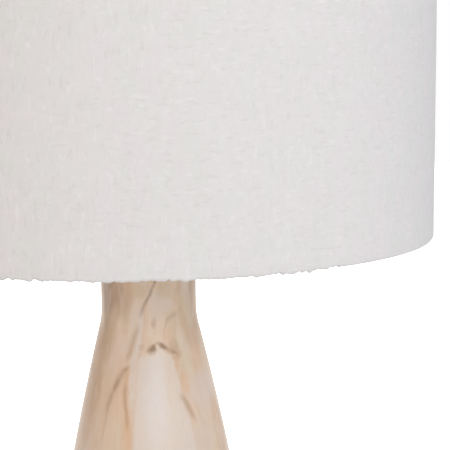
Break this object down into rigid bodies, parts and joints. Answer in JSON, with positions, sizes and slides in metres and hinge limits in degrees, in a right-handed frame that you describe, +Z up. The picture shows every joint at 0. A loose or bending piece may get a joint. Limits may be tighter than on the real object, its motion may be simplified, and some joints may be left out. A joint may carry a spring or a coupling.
{
  "type": "column table lamp",
  "caption": "Table lamp with a bottle-shaped turned wood column, a screw socket with a turn switch, a wire harp and a straight linen drum shade held by a finial.",
  "frame": {"origin": "centre of the foot's felt, on the table", "axes": "+Z up along the column; -Y is the front, where the switch is; +Y the back, where the lead's gland is"},
  "size_m": [0.4571, 0.4572, 0.7845],
  "materials": {
    "column_wood": "satin, pale bleached wood with brown figure and knots",
    "cast_iron": "rough, painted",
    "felt": "felt",
    "gland_plastic": "moulded",
    "zinc_steel": "zinc plated",
    "satin_brass": "satin",
    "card": null,
    "phenolic": "moulded phenolic",
    "contact_aluminium": "bright",
    "frosted_glass": "soft white inside coating",
    "clear_glass": "clear",
    "black_glass": null,
    "solder": "solder",
    "linen": "slubby plain-weave linen",
    "liner_film": "translucent stiff film",
    "white_wire": "white powder coat"
  },
  "bodies": {
    "base": {"wood_column": "column_wood", "foot_weight": "cast_iron", "felt_pad": "felt", "cord_gland": "gland_plastic", "threaded_pipe": "zinc_steel", "bottom_washer": "zinc_steel", "lock_washer": "zinc_steel", "hex_nut": "zinc_steel", "vase_cap": "satin_brass", "neck_tube": "satin_brass", "harp_saddle": "satin_brass", "saddle_nut": "satin_brass", "socket_cap": "satin_brass", "socket_set_screw": "zinc_steel", "socket_shell": "satin_brass", "insulating_sleeve": "card", "socket_core": "phenolic", "screw_shell": "contact_aluminium", "centre_contact": "satin_brass", "terminal_screws": "satin_brass"},
    "switch": {"switch_shaft": "zinc_steel", "switch_knob": "phenolic"},
    "bulb_base": {"bulb_cap": "contact_aluminium", "bulb_insulator": "black_glass", "bulb_contact": "solder"},
    "bulb": {"bulb_glass": "frosted_glass", "bulb_stem": "clear_glass", "bulb_filament": "zinc_steel"},
    "harp": {"harp_loop": "satin_brass", "harp_stud": "satin_brass"},
    "sleeve_left": {"sleeve_left": "satin_brass"},
    "sleeve_right": {"sleeve_right": "satin_brass"},
    "shade": {"shade_fabric": "linen", "shade_liner_front": "liner_film", "shade_liner_back": "liner_film", "shade_top_ring": "white_wire", "shade_bottom_ring": "white_wire", "spider_arms": "white_wire", "spider_hub": "white_wire"},
    "finial_base": {"finial_insert": "satin_brass"},
    "finial": {"finial_knob": "column_wood"}
  },
  "joints": [
    {"name": "switch_turn", "type": "hinge", "parent": "base", "child": "switch", "pos_m": [0, -0.017, 0.53765], "axis": [0, -1, 0], "continuous": true},
    {"name": "bulb_rise", "type": "slide", "parent": "base", "child": "bulb_base", "axis": [0, 0, 1], "range_m": [0, 0.01814]},
    {"name": "bulb_turn", "type": "hinge", "parent": "bulb_base", "child": "bulb", "pos_m": [0, 0, 0.5744], "axis": [0, 0, 1], "range_deg": [0, 1800]},
    {"name": "harp_lift", "type": "slide", "parent": "base", "child": "harp", "axis": [0, 0, 1], "range_m": [0, 0.014]},
    {"name": "sleeve_left_lift", "type": "slide", "parent": "harp", "child": "sleeve_left", "axis": [0, 0, 1], "range_m": [0, 0.014]},
    {"name": "sleeve_right_lift", "type": "slide", "parent": "harp", "child": "sleeve_right", "axis": [0, 0, 1], "range_m": [0, 0.014]},
    {"name": "shade_turn", "type": "hinge", "parent": "harp", "child": "shade", "pos_m": [0, 0, 0.7513], "axis": [0, 0, 1], "continuous": true},
    {"name": "finial_rise", "type": "slide", "parent": "harp", "child": "finial_base", "axis": [0, 0, 1], "range_m": [0, 0.01129]},
    {"name": "finial_turn", "type": "hinge", "parent": "finial_base", "child": "finial", "pos_m": [0, 0, 0.7531], "axis": [0, 0, 1], "range_deg": [0, 4320]}
  ],
  "couplings": [
    {"joint": "bulb_rise", "follows": "bulb_turn", "m_per_rad": 0.00057751},
    {"joint": "finial_rise", "follows": "finial_turn", "m_per_rad": 0.00014972}
  ]
}
